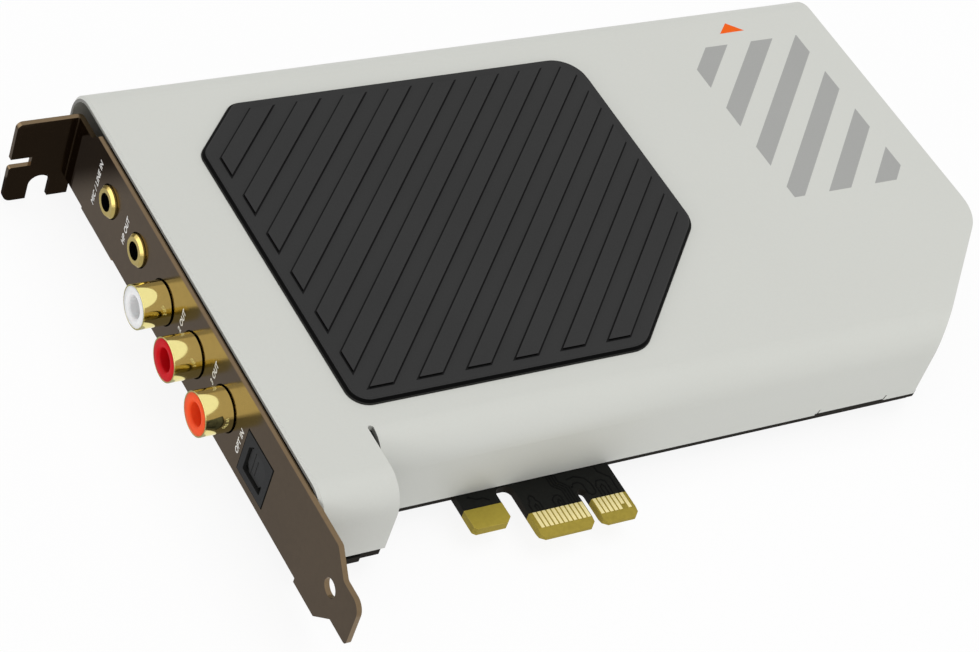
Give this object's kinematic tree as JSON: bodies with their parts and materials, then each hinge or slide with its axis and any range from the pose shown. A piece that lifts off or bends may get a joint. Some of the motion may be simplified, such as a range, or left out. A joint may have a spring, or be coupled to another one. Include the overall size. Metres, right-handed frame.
{
  "type": "sound card",
  "caption": "Expansion sound card with a one-lane card edge, a bent off-white cover with a ribbed plate, and a folded bracket with audio sockets.",
  "frame": {"origin": "centre line of the key notch at the contact tips, at half the board's thickness", "axes": "+X from the bracket along the board, +Y from the contacts to the back edge, +Z out of the component side"},
  "size_m": [0.1832, 0.125, 0.0241],
  "materials": {
    "black_plastic": "matte black",
    "board_black": "black solder mask",
    "bright_steel": "bright zinc",
    "can_aluminium": "plain aluminium",
    "ceramic_tan": "tan ceramic",
    "charcoal": "matte charcoal",
    "chip_black": "moulded black",
    "cover_paint": "satin off-white paint",
    "dark_nickel": "glossy dark bronze plating",
    "ferrite": "pressed grey",
    "film_red": "dipped red",
    "gold": "bright gold plating",
    "orange_insert": "gloss orange",
    "receiver_dark": "dark tinted resin",
    "red_insert": "gloss red",
    "relay_grey": "pale grey",
    "white_insert": "gloss white"
  },
  "bodies": {
    "card": {"bracket": "dark_nickel", "bracket_nut": "bright_steel", "bracket_screw": "bright_steel", "ceramic_capacitors": "ceramic_tan", "circuit_board": "board_black", "cover": "cover_paint", "cover_plate": "charcoal", "cover_posts": "bright_steel", "cover_screws": "bright_steel", "crystal_can": "can_aluminium", "edge_contacts_back": "gold", "edge_contacts_front": "gold", "electrolytic_bases": "black_plastic", "electrolytic_cans": "can_aluminium", "film_capacitors": "film_red", "header_body": "black_plastic", "header_pins": "gold", "headphone_amplifiers": "chip_black", "headphone_contacts": "gold", "headphone_ferrule": "gold", "headphone_housing": "black_plastic", "inductors": "ferrite", "input_converter": "chip_black", "line_in_contacts": "gold", "line_in_ferrule": "gold", "line_in_housing": "black_plastic", "lock_tab_plating": "gold", "memory_chip": "chip_black", "op_amps": "chip_black", "optical_housing": "black_plastic", "optical_leads": "bright_steel", "optical_receiver": "receiver_dark", "output_converter": "chip_black", "output_relays": "relay_grey", "phono_housing": "black_plastic", "phono_orange_contact": "gold", "phono_orange_insulator": "orange_insert", "phono_orange_shell": "gold", "phono_red_contact": "gold", "phono_red_insulator": "red_insert", "phono_red_shell": "gold", "phono_white_contact": "gold", "phono_white_insulator": "white_insert", "phono_white_shell": "gold", "regulators": "chip_black", "sound_processor": "chip_black"},
    "shutter": {"optical_shutter": "black_plastic"}
  },
  "joints": [
    {"name": "shutter_hinge", "type": "hinge", "parent": "card", "child": "shutter", "pos_m": [-0.05921, 0.024, 0.00924], "axis": [0, -1, 0], "range_deg": [0, 85], "stiffness_Nm_per_rad": 0.0001, "springref_deg": -20.05}
  ]
}
